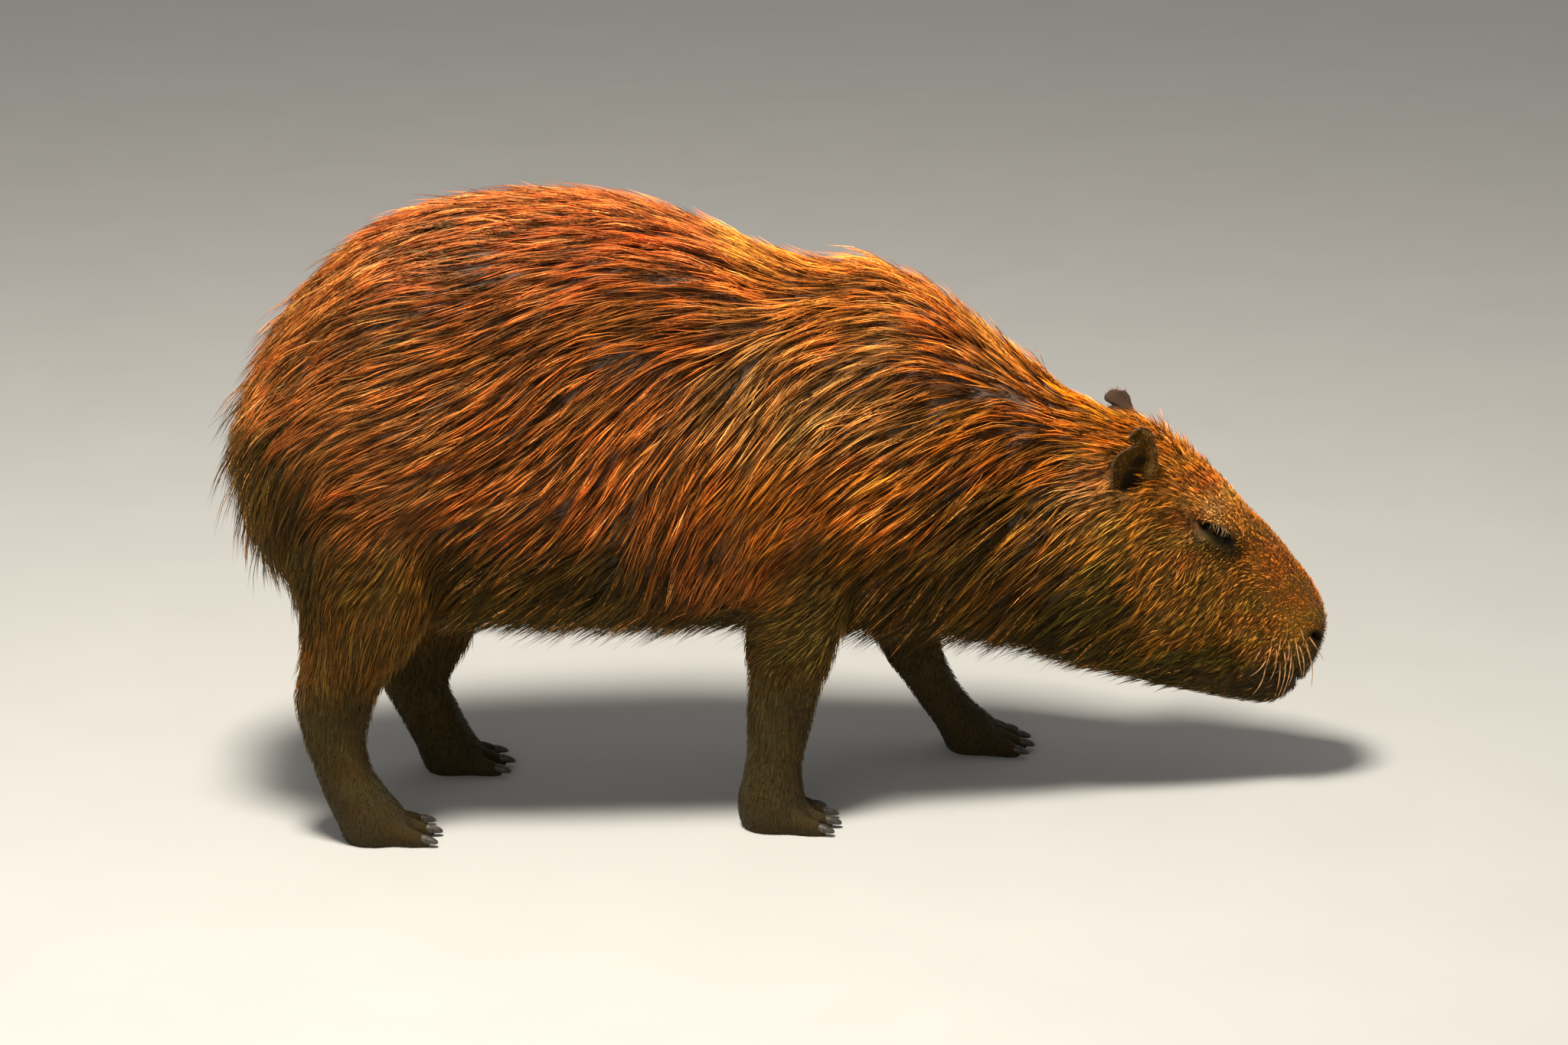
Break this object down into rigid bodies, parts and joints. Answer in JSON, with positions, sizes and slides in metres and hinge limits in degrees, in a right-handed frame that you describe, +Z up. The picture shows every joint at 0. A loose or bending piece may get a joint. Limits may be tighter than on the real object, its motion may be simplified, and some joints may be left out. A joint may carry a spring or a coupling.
{
  "type": "capybara",
  "caption": "Life-size still model of a grazing capybara, standing on its feet with the head lowered and the coarse coat lying back along the body.",
  "frame": {"origin": "on the floor under the middle of the animal's bounding box", "axes": "+X from rump to nose, +Y to the animal's left, +Z up"},
  "size_m": [1.124, 0.3328, 0.6486],
  "materials": {
    "body_coat": "coarse, sparse, rusty red-brown guard hair with straw and orange strands over dark grey-brown skin",
    "head_coat": "short tan and rust hair, darker along the nose and muzzle",
    "leg_coat": "very short grey-brown hair over dark skin",
    "ear_skin": "dark, thinly haired skin with a grey rim",
    "eye": "wet dark brown eyeball",
    "claw": "dull dark horn"
  },
  "bodies": {
    "root": {"rump": "body_coat", "barrel": "body_coat", "shoulders": "body_coat", "neck": "body_coat", "thigh_left": "body_coat", "thigh_right": "body_coat", "upper_foreleg_left": "body_coat", "upper_foreleg_right": "body_coat", "head": "head_coat", "lower_jaw": "head_coat", "shank_left": "leg_coat", "shank_right": "leg_coat", "forearm_left": "leg_coat", "forearm_right": "leg_coat", "hind_foot_left": "leg_coat", "hind_foot_right": "leg_coat", "fore_foot_left": "leg_coat", "fore_foot_right": "leg_coat", "ear_left": "ear_skin", "ear_right": "ear_skin", "eye_left": "eye", "eye_right": "eye", "claw_hind_left_1": "claw", "claw_hind_left_2": "claw", "claw_hind_left_3": "claw", "claw_hind_right_1": "claw", "claw_hind_right_2": "claw", "claw_hind_right_3": "claw", "claw_fore_left_1": "claw", "claw_fore_left_2": "claw", "claw_fore_left_3": "claw", "claw_fore_left_4": "claw", "claw_fore_right_1": "claw", "claw_fore_right_2": "claw", "claw_fore_right_3": "claw", "claw_fore_right_4": "claw"}
  },
  "joints": []
}
